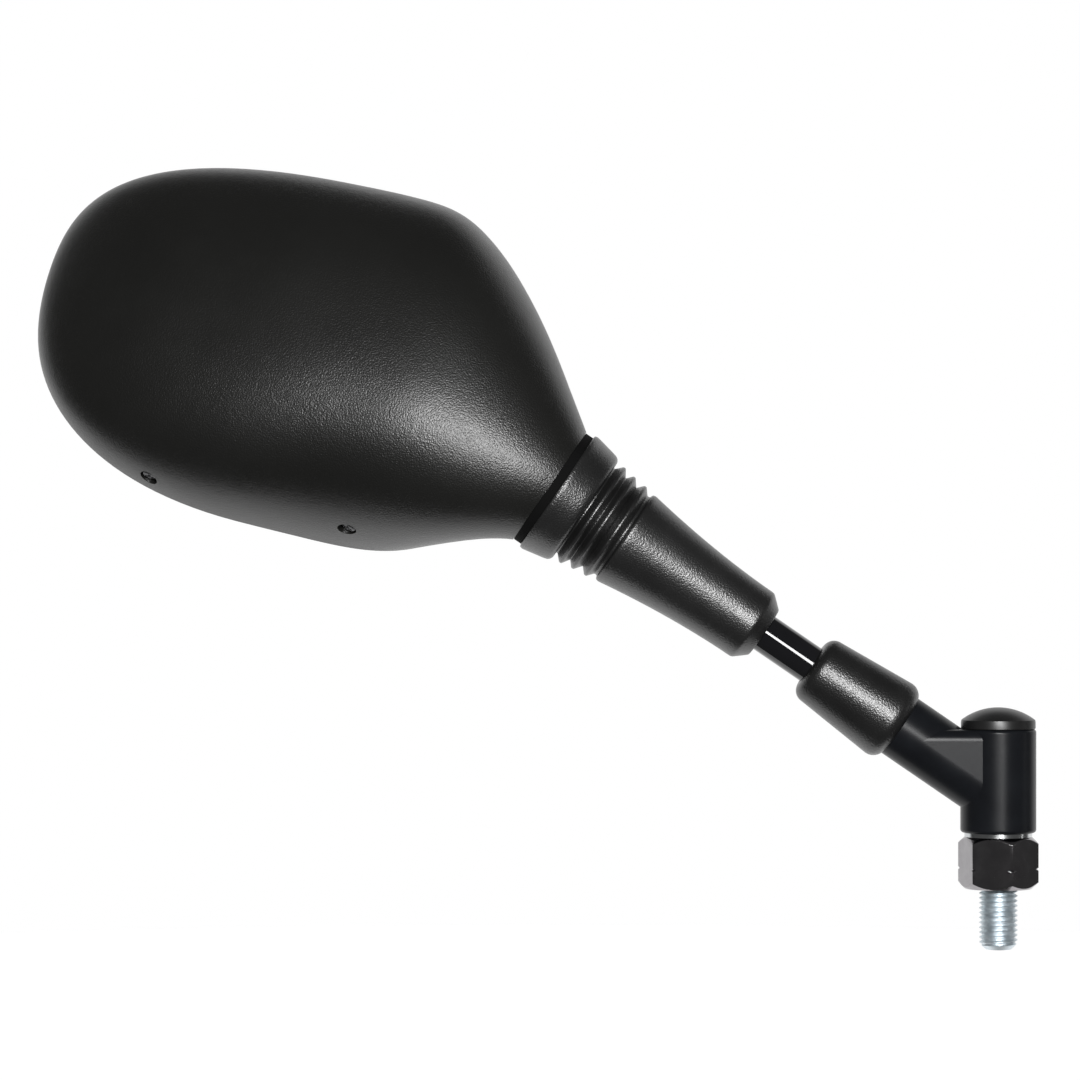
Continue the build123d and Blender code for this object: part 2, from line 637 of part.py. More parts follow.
def make_housing():
    shell = shell_form(0, 0) - cavity - slab(-3 * SHELL_DEPTH, 0)
    neck_foot = NECK_END - NECK_STEP_LENGTH
    spigot_r = SPIGOT_D / 2
    neck = turned_polygon(
        (0, neck_foot - SPIGOT_LENGTH),
        (spigot_r, neck_foot - SPIGOT_LENGTH),
        (spigot_r, neck_foot),
        (NECK_R - NECK_STEP, neck_foot),
        (NECK_R - NECK_STEP, NECK_END + NECK_ROOT),
        (0, NECK_END + NECK_ROOT),
    )
    mouth_room = mouth_block(-MOUTH_REBATE, -TRAY_RECESS, TRAY_BACK_W + TRAY_BACK_ROOM)
    housing = shell + stem * neck - mouth_room
    bore = Pos(0, 0, NECK_END) * Cylinder(SOCKET_D / 2 + FIT, 4 * SPIGOT_LENGTH)
    seat = extrude(SlotCenterToCenter(SOCKET_SCREW_SPAN, SOCKET_EAR_W + 2 * HEAD_ROOM), NECK_R)
    housing = housing - stem * bore - stem * Pos(0, 0, EAR_STATION) * seat
    screw_foot = SOCKET_TOP - SOCKET_SCREW_LENGTH
    for side in (-1, 1):
        pilot = ring(SOCKET_SCREW_D + 2 * FIT, 0, SOCKET_SCREW_LENGTH, screw_foot - FIT)
        housing = housing - stem * Pos(side * SOCKET_SCREW_SPAN / 2, 0, 0) * pilot
    for d, w in TRAY_SCREW_PLACES:
        sink = TRAY_SCREW_SINK + TRAY_SCREW_HEAD_H
        recess_r = TRAY_SCREW_HEAD_D / 2 + TRAY_SCREW_ROOM
        recess = Cylinder(recess_r, 2 * sink)
        hole = Cylinder(TRAY_SCREW_D / 2 + FIT, 2 * TRAY_SCREW_LENGTH)
        housing = housing - screw_axis(d, w) * recess - screw_axis(d, w) * hole
    return housing


# Glass tray, pad, glass and screws
def crown_ball(radius_less):
    """The ball whose front is the mirror's convex face, made smaller by radius_less."""
    crown = Vector(-SHELL_LENGTH / 2, SHELL_RISE, GLASS_CROWN_W + GLASS_RADIUS)
    centre = head.from_local_coords(crown)
    return Pos(centre.X, centre.Y, centre.Z) * Sphere(GLASS_RADIUS - radius_less)


def make_glass_tray():
    tray = mouth_block(TRAY_GAP, TRAY_RECESS, TRAY_BACK_W)
    room = shell_form(SHELL_WALL + TRAY_GAP + BOSS_SETBACK, MOUTH_START)
    for d, w in TRAY_SCREW_PLACES:
        height = w + BOSS_W / 2 - TRAY_FLOOR_W
        block = Box(height, BOSS_W, 2 * BOSS_LENGTH)
        place = screw_axis(d, w) * Pos(BOSS_W / 2 - height / 2, 0, 0)
        tray = tray + common(place * block, room)
    pocket = common(mouth_block(POCKET_INSET, 0, TRAY_FLOOR_W), crown_ball(-FIT))
    window = mouth_block(POCKET_INSET + TRAY_LIP, -TRAY_RECESS, TRAY_FLOOR_W)
    tray = tray - pocket - window
    for d, w in TRAY_SCREW_PLACES:
        tray = tray - screw_axis(d, w) * Cylinder(TRAY_SCREW_D / 2 + FIT, 2 * TRAY_SCREW_LENGTH)
    return tray


def make_mirror_glass():
    pane = mouth_block(GLASS_INSET, 0, TRAY_FLOOR_W)
    return common(pane, crown_ball(0)) - crown_ball(GLASS_T)


def make_foam_pad():
    pad = mouth_block(GLASS_INSET + PAD_INSET, 0, TRAY_FLOOR_W - FIT)
    return common(pad, crown_ball(GLASS_T + FIT))


def make_tray_screws():
    screws = []
    for d, w in TRAY_SCREW_PLACES:
        top = Pos(0, 0, -TRAY_SCREW_SINK - TRAY_SCREW_HEAD_H / 2) * Cylinder(
            TRAY_SCREW_HEAD_D / 2, TRAY_SCREW_HEAD_H
        )
        shank_h = TRAY_SCREW_LENGTH - TRAY_SCREW_SINK - TRAY_SCREW_HEAD_H
        shank_z = -TRAY_SCREW_LENGTH + shank_h / 2
        shank = Pos(0, 0, shank_z) * Cylinder(TRAY_SCREW_D / 2, shank_h)
        screws.append(screw_axis(d, w) * (top + shank))
    return screws


nut_bore_d = STUD_D + 2 * SWIVEL_CLEARANCE
parts = {
    "pivot_bolt": make_pivot_bolt(),
    "lock_nut": hex_turn(hex_nut(NUT_AF, LOCK_NUT_H, nut_bore_d, 0)),
    "shoulder_nut": hex_turn(hex_nut(NUT_AF, SHOULDER_NUT_H, nut_bore_d, SHOULDER_Z)),
    "seat_washer": ring(SEAT_WASHER_D, nut_bore_d, SEAT_WASHER_T, SEAT_Z),
    "thrust_washer": ring(BOLT_HEAD_D, nut_bore_d, THRUST_WASHER_T, COUNTERBORE_Z),
    "disc_springs": make_disc_springs(),
    "base_arm": make_base_arm(),
    "dome_cap": make_dome_cap(),
    "stem_rod": make_stem_rod(),
    "stem_lock_nut": stem * hex_nut(STEM_NUT_AF, STEM_NUT_H, ROD_D + 2 * FIT, ARM_LENGTH),
    "stem_boot": make_stem_boot(),
    "gaiter": make_gaiter(),
    "lower_seat": make_lower_seat(),
    "upper_seat": make_upper_seat(),
    "socket_body": make_socket_body(),
    "pressure_cup": make_pressure_cup(),
    "cup_spring": make_cup_spring(),
    "retaining_plug": make_retaining_plug(),
    "socket_screws": make_socket_screws(),
    "housing": make_housing(),
    "glass_tray": make_glass_tray(),
    "foam_pad": make_foam_pad(),
    "mirror_glass": make_mirror_glass(),
    "tray_screws": make_tray_screws(),
}

os.makedirs("parts", exist_ok=True)
for name, shape in parts.items():
    if isinstance(shape, list):
        shape = Compound(children=shape)
    export_step(shape, f"parts/{name}.step")
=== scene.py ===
import math

import bmesh
import bpy
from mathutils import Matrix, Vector


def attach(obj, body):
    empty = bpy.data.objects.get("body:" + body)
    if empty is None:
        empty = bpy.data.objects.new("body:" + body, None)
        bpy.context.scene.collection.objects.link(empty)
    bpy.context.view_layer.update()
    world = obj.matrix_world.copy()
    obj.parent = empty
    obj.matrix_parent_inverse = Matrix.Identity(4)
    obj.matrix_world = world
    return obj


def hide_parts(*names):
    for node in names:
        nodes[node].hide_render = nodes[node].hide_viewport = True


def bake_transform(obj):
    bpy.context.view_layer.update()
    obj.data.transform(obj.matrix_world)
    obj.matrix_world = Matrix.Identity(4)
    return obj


# Motorcycle mirror on a threaded stud, seen from the back of its head. Metres, in the CAD frame.
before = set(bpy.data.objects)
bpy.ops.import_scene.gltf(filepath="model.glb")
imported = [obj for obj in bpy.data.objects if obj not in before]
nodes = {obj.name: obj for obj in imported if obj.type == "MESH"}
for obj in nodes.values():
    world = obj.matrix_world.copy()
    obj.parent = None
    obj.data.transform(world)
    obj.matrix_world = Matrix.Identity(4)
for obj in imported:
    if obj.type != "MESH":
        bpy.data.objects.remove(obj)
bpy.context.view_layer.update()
scene = bpy.context.scene
scene.view_settings.view_transform = "Standard"


# Camera
# Level, square to the mount, and far enough away that there is little perspective.
camera_data = bpy.data.cameras.new("camera")
camera_data.sensor_width = 36.0
camera_data.lens = 143.0
camera = bpy.data.objects.new("camera", camera_data)
camera.location = (-0.1175, -1.1, 0.0893)
camera.rotation_euler = (math.radians(90), 0, 0)
scene.collection.objects.link(camera)
scene.camera = camera


# Studio room
# A white backdrop on the far side, and a dim room on the camera's side and overhead, which keeps the
# front of the black parts dark. Every kind of ray sees the same room.
backdrop_side = (0.30, 0.55)
backdrop_top = (0.60, 0.74)
room_level = 0.08
world = bpy.data.worlds.new("studio_room")
world.use_nodes = True
scene.world = world
room = world.node_tree.nodes
room_link = world.node_tree.links.new
room_way = room.new("ShaderNodeTexCoord")
room_axes = room.new("ShaderNodeSeparateXYZ")
room_back = room.new("ShaderNodeMapRange")
room_back.interpolation_type = "SMOOTHSTEP"
room_back.inputs["From Min"].default_value = backdrop_side[0]
room_back.inputs["From Max"].default_value = backdrop_side[1]
room_below = room.new("ShaderNodeMapRange")
room_below.interpolation_type = "SMOOTHSTEP"
room_below.inputs["From Min"].default_value = backdrop_top[0]
room_below.inputs["From Max"].default_value = backdrop_top[1]
room_below.inputs["To Min"].default_value = 1.0
room_below.inputs["To Max"].default_value = 0.0
room_both = room.new("ShaderNodeMath")
room_both.operation = "MULTIPLY"
room_light = room.new("ShaderNodeMapRange")
room_light.inputs["To Min"].default_value = room_level
room_light.inputs["To Max"].default_value = 1.0
room_link(room_way.outputs["Generated"], room_axes.inputs[0])
room_link(room_axes.outputs["Y"], room_back.inputs["Value"])
room_link(room_axes.outputs["Z"], room_below.inputs["Value"])
room_link(room_back.outputs[0], room_both.inputs[0])
room_link(room_below.outputs[0], room_both.inputs[1])
room_link(room_both.outputs[0], room_light.inputs["Value"])
room_link(room_light.outputs[0], room["Background"].inputs["Color"])


# Softboxes
# A square one above the camera, a smaller one to its right that draws the line along the rod, and a
# weak strip far to the right. All of them point at the middle of the mirror.
lamp_aim = Vector((-0.12, 0, 0.09))


def softbox(name, place, width, height, watts):
    data = bpy.data.lights.new(name, "AREA")
    data.shape = "RECTANGLE"
    data.size = width
    data.size_y = height
    data.energy = watts
    lamp = bpy.data.objects.new(name, data)
    lamp.location = place
    lamp.rotation_euler = (lamp_aim - lamp.location).to_track_quat("-Z", "Y").to_euler()
    lamp.visible_camera = False
    scene.collection.objects.link(lamp)


softbox("key_softbox", (-0.06, -1.26, 0.356), width=0.36, height=0.36, watts=16)
softbox("rod_softbox", (0.176, -1.26, 0.176), width=0.24, height=0.32, watts=4.9)
softbox("side_strip", (1.2, -0.15, 0.06), width=0.10, height=0.80, watts=0.3)


# Floor
# A pale round table top, well below the stud, because the mirror is held by its mount alone. Its front
# edge runs below the far edge of the head. What the camera, metal and glass see of it is lifted towards
# white, and it keeps the mirror's shadow.
floor_radius = 1.6
floor_front = 0.04
floor_middle = -0.11
floor_height = -0.30
floor_mesh = bpy.data.meshes.new("floor")
floor_shape = bmesh.new()
bmesh.ops.create_circle(floor_shape, cap_ends=True, radius=floor_radius, segments=96)
floor_shape.to_mesh(floor_mesh)
floor_shape.free()
floor = bpy.data.objects.new("floor", floor_mesh)
floor.location = (floor_middle, floor_front + floor_radius, floor_height)
scene.collection.objects.link(floor)
floor_paint = bpy.data.materials.new("floor_paint")
floor_paint.use_nodes = True
floor_tree = floor_paint.node_tree
floor_shader = floor_tree.nodes["Principled BSDF"]
floor_shader.inputs["Base Color"].default_value = (0.84, 0.84, 0.84, 1)
floor_shader.inputs["Roughness"].default_value = 0.8
floor_shader.inputs["Emission Color"].default_value = (0.8, 0.8, 0.8, 1)
floor_rays = floor_tree.nodes.new("ShaderNodeLightPath")
floor_direct = floor_tree.nodes.new("ShaderNodeMath")
floor_direct.operation = "MAXIMUM"
floor_seen = floor_tree.nodes.new("ShaderNodeMath")
floor_seen.operation = "MAXIMUM"
floor_tree.links.new(floor_rays.outputs["Is Camera Ray"], floor_direct.inputs[0])
floor_tree.links.new(floor_rays.outputs["Is Glossy Ray"], floor_direct.inputs[1])
floor_tree.links.new(floor_direct.outputs[0], floor_seen.inputs[0])
floor_tree.links.new(floor_rays.outputs["Is Transmission Ray"], floor_seen.inputs[1])
floor_tree.links.new(floor_seen.outputs[0], floor_shader.inputs["Emission Strength"])
floor_mesh.materials.append(floor_paint)


# Pivot bolt
# Zinc-plated steel. Its head and shank carry the arm's boss, and its lower end is the mounting stud,
# with a rolled M10 x 1.25 thread and a chamfered end. A hexagon key fits in its head.
thread_pitch = 0.00125
thread_crest = 0.00493
thread_depth = 0.00070
stud_end = -0.0156
stud_chamfer = 0.0016
crest_share = 0.12
flank_share = 0.7
round_sides = 96
smooth_limit = math.radians(38)
centre_ring = 0.0005


def skin(name, rings, closed=False):
    """A smooth mesh over a row of rings of points. A closed row joins its last ring to its first."""
    count = len(rings[0])
    points = [point for ring in rings for point in ring]
    faces = []
    for row in range(len(rings) if closed else len(rings) - 1):
        low = row * count
        high = (row + 1) % len(rings) * count
        for i in range(count):
            j = (i + 1) % count
            faces.append((low + i, low + j, high + j, high + i))
    if not closed:
        faces.append(tuple(range(count)))
        faces.append(tuple(range(len(points) - count, len(points))))
    mesh = bpy.data.meshes.new(name)
    mesh.from_pydata(points, [], faces)
    shape = bmesh.new()
    shape.from_mesh(mesh)
    bmesh.ops.recalc_face_normals(shape, faces=shape.faces)
    shape.to_mesh(mesh)
    shape.free()
    mesh.polygons.foreach_set("use_smooth", [True] * len(mesh.polygons))
    mesh.set_sharp_from_angle(angle=smooth_limit)
    piece = bpy.data.objects.new(name, mesh)
    scene.collection.objects.link(piece)
    return piece


def hexagon_reach(angle, half_flat, sharpness=70):
    """Distance from the axis to the side of a hexagon with slightly rounded corners."""
    total = sum(abs(math.cos(angle - k * math.pi / 3)) ** sharpness for k in range(3))
    return half_flat / total ** (1 / sharpness)


def thread_reach(angle, z):
    turn = (z / thread_pitch - angle / (2 * math.pi)) % 1.0
    away = abs(turn - 0.5) * 2
    slope = min(max((away - crest_share) / flank_share, 0.0), 1.0)
    return min(thread_crest - thread_depth * slope, thread_crest - stud_chamfer + z - stud_end)


def round_ring(z, reach):
    ring = []
    for i in range(round_sides):
        angle = 2 * math.pi * i / round_sides
        radius = reach(angle) if callable(reach) else reach
        ring.append((radius * math.cos(angle), radius * math.sin(angle), z))
    return ring


# Height and radius of the steps from the thread's upper end through the shank to the head's top, then
# height and half width of those in the head's hexagon socket.
bolt_steps = (
    (0.0, 0.0042), (0.0015, 0.0042), (0.0015, 0.0047), (0.0018, 0.005), (0.0316, 0.005),
    (0.0316, 0.0077), (0.0319, 0.008), (0.0371, 0.008), (0.0376, 0.0075),
)
key_steps = ((0.0376, 0.0043), (0.0373, 0.004), (0.0341, 0.004))
key_floor = 0.0336
thread_rows = 250
bolt_rings = []
for row in range(thread_rows + 1):
    row_z = stud_end * (1 - row / thread_rows)
    bolt_rings.append(round_ring(row_z, lambda angle: thread_reach(angle, row_z)))
for row_z, row_radius in bolt_steps:
    bolt_rings.append(round_ring(row_z, row_radius))
for row_z, key_half in key_steps:
    bolt_rings.append(round_ring(row_z, lambda angle: hexagon_reach(angle, key_half)))
bolt_rings.append(round_ring(key_floor, centre_ring))
pivot_bolt = skin("pivot_bolt_threaded", bolt_rings)


# Soft cloudy patches where plating, paint or moulding isn't quite even. Puts out one mask.
marks_group = bpy.data.node_groups.new("uneven_finish", "ShaderNodeTree")
marks_group.interface.new_socket("Patches per metre", in_out="INPUT", socket_type="NodeSocketFloat")
marks_group.interface.new_socket("Mask", in_out="OUTPUT", socket_type="NodeSocketFloat")
marks_in = marks_group.nodes.new("NodeGroupInput")
marks_out = marks_group.nodes.new("NodeGroupOutput")
marks_place = marks_group.nodes.new("ShaderNodeTexCoord")
marks_cloud = marks_group.nodes.new("ShaderNodeTexNoise")
marks_cloud.inputs["Detail"].default_value = 5.0
marks_cloud.inputs["Roughness"].default_value = 0.6
marks_spread = marks_group.nodes.new("ShaderNodeMapRange")
marks_spread.inputs["From Min"].default_value = 0.35
marks_spread.inputs["From Max"].default_value = 0.7
marks_group.links.new(marks_place.outputs["Object"], marks_cloud.inputs["Vector"])
marks_group.links.new(marks_in.outputs[0], marks_cloud.inputs["Scale"])
marks_group.links.new(marks_cloud.outputs[0], marks_spread.inputs["Value"])
marks_group.links.new(marks_spread.outputs[0], marks_out.inputs[0])


def uneven(name, dark, light, smoothest, roughest, patches):
    """A material whose colour and roughness drift between two values in soft patches."""
    finish = bpy.data.materials.new(name)
    finish.use_nodes = True
    tree = finish.node_tree
    marks = tree.nodes.new("ShaderNodeGroup")
    marks.node_tree = marks_group
    marks.inputs[0].default_value = patches
    colour = tree.nodes.new("ShaderNodeMix")
    colour.data_type = "RGBA"
    colour.inputs[6].default_value = (*dark, 1)
    colour.inputs[7].default_value = (*light, 1)
    gloss = tree.nodes.new("ShaderNodeMapRange")
    gloss.inputs["To Min"].default_value = smoothest
    gloss.inputs["To Max"].default_value = roughest
    shader = tree.nodes["Principled BSDF"]
    tree.links.new(marks.outputs[0], colour.inputs[0])
    tree.links.new(marks.outputs[0], gloss.inputs["Value"])
    tree.links.new(colour.outputs[2], shader.inputs["Base Color"])
    tree.links.new(gloss.outputs[0], shader.inputs["Roughness"])
    return finish, shader


bright_zinc, zinc_shader = uneven(
    "bright_zinc", dark=(0.66, 0.73, 0.77), light=(0.79, 0.84, 0.87),
    smoothest=0.42, roughest=0.52, patches=400,
)
zinc_shader.inputs["Metallic"].default_value = 1.0
pivot_bolt.data.materials.append(bright_zinc)
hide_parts("pivot_bolt")
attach(pivot_bolt, "mount")


# Lock nut and shoulder nut
# Hexagon nuts, turned from bar and black zinc plated. Their outer faces have deep chamfers, and the
# faces where they meet only broken edges. The tall one clamps the swivel, the thin one locks the stud.
lock_nut_height = 0.0051
shoulder_nut_height = 0.0082
nut_half_flat = 0.009
nut_corner = nut_half_flat / math.cos(math.pi / 6)
nut_turn = math.radians(-15) + math.pi / 6
nut_sides = 144
nut_bore = 0.00505
nut_bore_edge = 0.0006
outer_chamfer = 0.0017
inner_chamfer = 0.0004
chamfer_slope = 1.05
chamfer_rows = 12
edge_sharpness = 2000


def make_nut(name, foot, height, low_chamfer, high_chamfer):
    def ring(z, radius_at):
        points = []
        for i in range(nut_sides):
            angle = 2 * math.pi * i / nut_sides
            radius = radius_at(angle)
            points.append((radius * math.cos(angle), radius * math.sin(angle), z))
        return points

    def side_ring(level):
        cut = max(low_chamfer - level, high_chamfer - (height - level), 0)
        cone = nut_corner - cut * chamfer_slope

        def side(angle):
            hexagon = hexagon_reach(angle - nut_turn, nut_half_flat, edge_sharpness)
            return hexagon * (1 + (hexagon / cone) ** edge_sharpness) ** (-1 / edge_sharpness)

        return ring(foot + level, side)

    rows = [row / chamfer_rows for row in range(chamfer_rows + 1)]
    levels = [row * low_chamfer for row in rows]
    levels += [height - row * high_chamfer for row in reversed(rows)]
    top = foot + height
    rings = [ring(foot, lambda angle: nut_bore + nut_bore_edge)]
    rings += [side_ring(level) for level in levels]
    rings.append(ring(top, lambda angle: nut_bore + nut_bore_edge))
    rings.append(ring(top - nut_bore_edge, lambda angle: nut_bore))
    rings.append(ring(foot + nut_bore_edge, lambda angle: nut_bore))
    return skin(name, rings, closed=True)


black_zinc, black_zinc_shader = uneven(
    "black_zinc", dark=(0.26, 0.25, 0.26), light=(0.31, 0.30, 0.31),
    smoothest=0.08, roughest=0.12, patches=250,
)
black_zinc_shader.inputs["Metallic"].default_value = 1.0
lock_nut = make_nut("lock_nut_chamfered", 0.0, lock_nut_height, outer_chamfer, inner_chamfer)
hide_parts("lock_nut")
shoulder_nut = make_nut(
    "shoulder_nut_chamfered", lock_nut_height, shoulder_nut_height, inner_chamfer, outer_chamfer
)
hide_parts("shoulder_nut")
for nut in (lock_nut, shoulder_nut):
    nut.data.materials.append(black_zinc)
    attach(nut, "mount")


# Seat washer and thrust washer
# Flat rings punched from zinc-plated sheet. One lies between the boss and the tall nut, where its
# edge shows as a bright line, and the other lies under the springs inside the boss.
def dress(node, finish):
    """Give a CAD node its material."""
    nodes[node].data.materials.clear()
    nodes[node].data.materials.append(finish)


washer_zinc, washer_shader = uneven(
    "washer_zinc", dark=(0.55, 0.57, 0.58), light=(0.66, 0.67, 0.67),
    smoothest=0.12, roughest=0.22, patches=300,
)
washer_shader.inputs["Metallic"].default_value = 1.0
dress("seat_washer", washer_zinc)
dress("thrust_washer", washer_zinc)


# Disc springs and cup spring
# Hardened spring steel, oiled and bluish grey. The two coned discs give the swivel its friction, and the
# cup spring presses the ball seats together.
spring_steel, spring_shader = uneven(
    "spring_steel", dark=(0.26, 0.27, 0.31), light=(0.40, 0.40, 0.41),
    smoothest=0.25, roughest=0.4, patches=300,
)
spring_shader.inputs["Metallic"].default_value = 1.0
dress("disc_springs", spring_steel)
dress("cup_spring", spring_steel)


# Base arm
# One aluminium casting: upright boss, round arm and flat web. It is painted semi-gloss black, and the
# paint has a slight orange peel.
arm_paint, arm_shader = uneven(
    "arm_paint", dark=(0.0065, 0.007, 0.0085), light=(0.0085, 0.0095, 0.0115),
    smoothest=0.28, roughest=0.33, patches=120,
)
arm_shader.inputs["Specular IOR Level"].default_value = 0.16
arm_tree = arm_paint.node_tree
arm_place = arm_tree.nodes.new("ShaderNodeTexCoord")
arm_peel = arm_tree.nodes.new("ShaderNodeTexNoise")
arm_peel.inputs["Scale"].default_value = 700
arm_peel.inputs["Detail"].default_value = 1.5
arm_bump = arm_tree.nodes.new("ShaderNodeBump")
arm_bump.inputs["Distance"].default_value = 0.000008
arm_tree.links.new(arm_place.outputs["Object"], arm_peel.inputs["Vector"])
arm_tree.links.new(arm_peel.outputs[0], arm_bump.inputs["Height"])
arm_tree.links.new(arm_bump.outputs[0], arm_shader.inputs["Normal"])
dress("base_arm", arm_paint)


# Dome cap
# A satin black moulding with a low round dome. Its hollow plug is pressed into the top of the boss, and
# it keeps the bolt's head dry.
cap_foot = 0.0409
cap_radius = 0.00955
cap_band = 0.0022
cap_height = 0.0055
cap_dome = cap_height - cap_band
cap_dome_radius = (cap_radius ** 2 + cap_dome ** 2) / (2 * cap_dome)
cap_edge = 0.0005
cap_foot_edge = 0.0002
dome_rows = 25
plug_radius = 0.00825
plug_inside = 0.00665
plug_length = 0.003
plug_foot = cap_foot - plug_length
cap_rings = [
    round_ring(cap_foot, centre_ring),
    round_ring(cap_foot, plug_inside),
    round_ring(plug_foot, plug_inside),
    round_ring(plug_foot, plug_radius),
    round_ring(cap_foot, plug_radius),
    round_ring(cap_foot, cap_radius - cap_foot_edge),
    round_ring(cap_foot + cap_foot_edge, cap_radius),
    round_ring(cap_foot + cap_band - cap_edge, cap_radius),
]
dome_edge = cap_radius - cap_edge * 0.25
for step in range(dome_rows):
    reach = dome_edge * (1 - step / (dome_rows - 0.5))
    rise = math.sqrt(cap_dome_radius ** 2 - reach ** 2) - cap_dome_radius
    cap_rings.append(round_ring(cap_foot + cap_height + rise, reach))
dome_cap = skin("dome_cap_turned", cap_rings)
cap_plastic, _ = uneven(
    "cap_plastic", dark=(0.008, 0.008, 0.008), light=(0.011, 0.011, 0.011),
    smoothest=0.34, roughest=0.40, patches=90,
)
dome_cap.data.materials.append(cap_plastic)
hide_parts("dome_cap")
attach(dome_cap, "arm")


# Stem rod
# A ground steel rod with a ball on its upper end, screwed into the arm and painted gloss black. The
# gloss is deep enough to show the softbox as one thin white line.
rod_gloss, rod_shader = uneven(
    "rod_gloss", dark=(0.005, 0.005, 0.006), light=(0.007, 0.007, 0.008),
    smoothest=0.03, roughest=0.05, patches=60,
)
rod_shader.inputs["Coat Weight"].default_value = 0.3
rod_shader.inputs["Coat Roughness"].default_value = 0.04
dress("stem_rod", rod_gloss)
dress("stem_lock_nut", black_zinc)


# Stem boot
# A rubber moulding pulled over the end of the arm and the stem's lock nut, to keep water out. Its
# mould was etched, which leaves a fine pebbled grain.
grain_group = bpy.data.node_groups.new("etched_grain", "ShaderNodeTree")
grain_group.interface.new_socket("Pebbles per metre", in_out="INPUT", socket_type="NodeSocketFloat")
grain_group.interface.new_socket("Height", in_out="OUTPUT", socket_type="NodeSocketFloat")
grain_in = grain_group.nodes.new("NodeGroupInput")
grain_out = grain_group.nodes.new("NodeGroupOutput")
grain_place = grain_group.nodes.new("ShaderNodeTexCoord")
grain_pebble = grain_group.nodes.new("ShaderNodeTexVoronoi")
grain_pebble.feature = "SMOOTH_F1"
grain_pebble.inputs["Smoothness"].default_value = 0.35
grain_wave = grain_group.nodes.new("ShaderNodeTexNoise")
grain_wave.inputs["Detail"].default_value = 2.0
grain_sum = grain_group.nodes.new("ShaderNodeMath")
grain_sum.operation = "SUBTRACT"
grain_group.links.new(grain_place.outputs["Object"], grain_pebble.inputs["Vector"])
grain_group.links.new(grain_place.outputs["Object"], grain_wave.inputs["Vector"])
grain_group.links.new(grain_in.outputs[0], grain_pebble.inputs["Scale"])
grain_group.links.new(grain_in.outputs[0], grain_wave.inputs["Scale"])
grain_group.links.new(grain_wave.outputs[0], grain_sum.inputs[0])
grain_group.links.new(grain_pebble.outputs["Distance"], grain_sum.inputs[1])
grain_group.links.new(grain_sum.outputs[0], grain_out.inputs[0])


def etch(finish, shader, pebbles, depth):
    """Add the etched grain to a material."""
    grain = finish.node_tree.nodes.new("ShaderNodeGroup")
    grain.node_tree = grain_group
    grain.inputs[0].default_value = pebbles
    bump = finish.node_tree.nodes.new("ShaderNodeBump")
    bump.inputs["Distance"].default_value = depth
    finish.node_tree.links.new(grain.outputs[0], bump.inputs["Height"])
    finish.node_tree.links.new(bump.outputs[0], shader.inputs["Normal"])


boot_rubber, boot_shader = uneven(
    "boot_rubber", dark=(0.007, 0.007, 0.007), light=(0.010, 0.010, 0.010),
    smoothest=0.29, roughest=0.35, patches=80,
)
boot_shader.inputs["Specular IOR Level"].default_value = 0.7
etch(boot_rubber, boot_shader, pebbles=2400, depth=0.00005)
dress("stem_boot", boot_rubber)


# Ball seats and pressure cup
# Turned from white nylon. Two half liners hold the stem's ball, and the cup presses on the upper one.
nylon, _ = uneven(
    "white_nylon", dark=(0.72, 0.71, 0.65), light=(0.80, 0.79, 0.74),
    smoothest=0.38, roughest=0.5, patches=150,
)
dress("lower_seat", nylon)
dress("upper_seat", nylon)
dress("pressure_cup", nylon)


# Socket body and retaining plug
# The socket is moulded in black nylon with two ears. The steel plug screws in and loads the cup spring.
socket_nylon, socket_shader = uneven(
    "socket_nylon", dark=(0.012, 0.012, 0.012), light=(0.018, 0.018, 0.018),
    smoothest=0.4, roughest=0.5, patches=150,
)
etch(socket_nylon, socket_shader, pebbles=1500, depth=0.00003)
dress("socket_body", socket_nylon)
dress("retaining_plug", black_zinc)


# Housing
# One moulding in black plastic, with an etched grain on the whole outside: a shell that grows out of
# a round neck, and ends in a flat rim round the glass.
shell_plastic, shell_shader = uneven(
    "shell_plastic", dark=(0.0066, 0.0066, 0.0060), light=(0.0082, 0.0082, 0.0075),
    smoothest=0.32, roughest=0.37, patches=25,
)
shell_shader.inputs["Specular IOR Level"].default_value = 0.55
etch(shell_plastic, shell_shader, pebbles=2500, depth=0.00005)
dress("housing", shell_plastic)


# Gaiter
# One rubber moulding: a tapered sleeve that grips the rod, three thin ribs that flex, a collar that
# snaps on the housing's neck, and a dull, nearly black lip that closes the joint. The lip's darkness is
# painted shade that stands in for the shaded groove there. It is drawn as turned lengths.
stem_foot = Vector((0, 0, 0.0244))
stem_way = Vector((-0.825113, 0, 0.564967))
stem_up = Vector((0.564967, 0, 0.825113))
stem_side = Vector((0, 1, 0))
gaiter_sides = 128
bend_steps = 4
bend_limit = 0.49


def rounded(corners):
    """A closed outline of radius and run pairs, each corner rounded as its third number says."""
    outline = []
    for i, (radius, run, bend) in enumerate(corners):
        here = Vector((radius, run))
        before = Vector(corners[i - 1][:2])
        after = Vector(corners[(i + 1) % len(corners)][:2])
        if bend == 0:
            outline.append(here)
            continue
        cut_in = min(bend, (before - here).length * bend_limit)
        cut_out = min(bend, (after - here).length * bend_limit)
        arrive = here + (before - here).normalized() * cut_in
        leave = here + (after - here).normalized() * cut_out
        for step in range(bend_steps + 1):
            t = step / bend_steps
            outline.append(arrive * (1 - t) ** 2 + here * 2 * t * (1 - t) + leave * t * t)
    return outline


